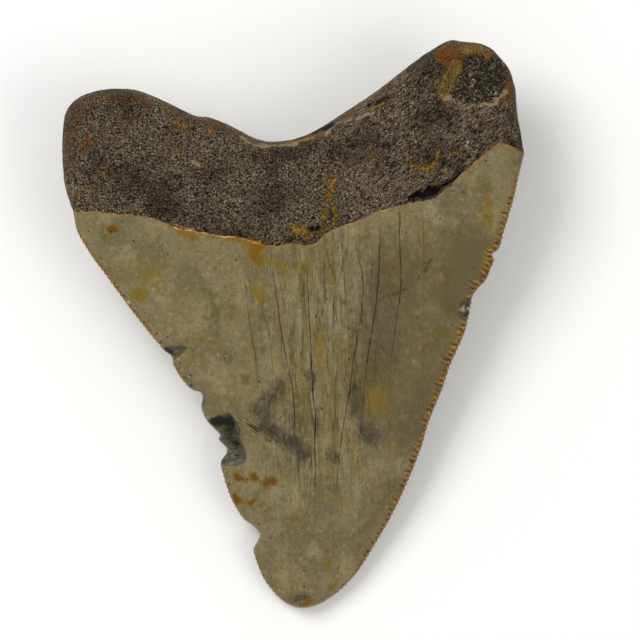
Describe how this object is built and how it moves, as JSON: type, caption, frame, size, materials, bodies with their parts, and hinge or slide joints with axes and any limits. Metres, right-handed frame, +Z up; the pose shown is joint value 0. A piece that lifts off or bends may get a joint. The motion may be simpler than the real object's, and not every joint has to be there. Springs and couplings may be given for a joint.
{
  "type": "fossil megalodon tooth",
  "caption": "Fossil shark tooth lying flat, lip side up: broad triangular enamel crown with serrated edges and a rough two-lobed root.",
  "frame": {"origin": "centre of the bounding box on the surface that the tooth lies on", "axes": "+X to the right and +Y from the tip to the root as the lip side is seen, +Z up from the surface, out of the lip side"},
  "size_m": [0.0692, 0.0854, 0.0202],
  "materials": {
    "tooth": "satin olive-grey fossil enamel with orange-stained serrations, and rough dark brown fossil bone on the root"
  },
  "bodies": {
    "root": {"tooth": "tooth"}
  },
  "joints": []
}
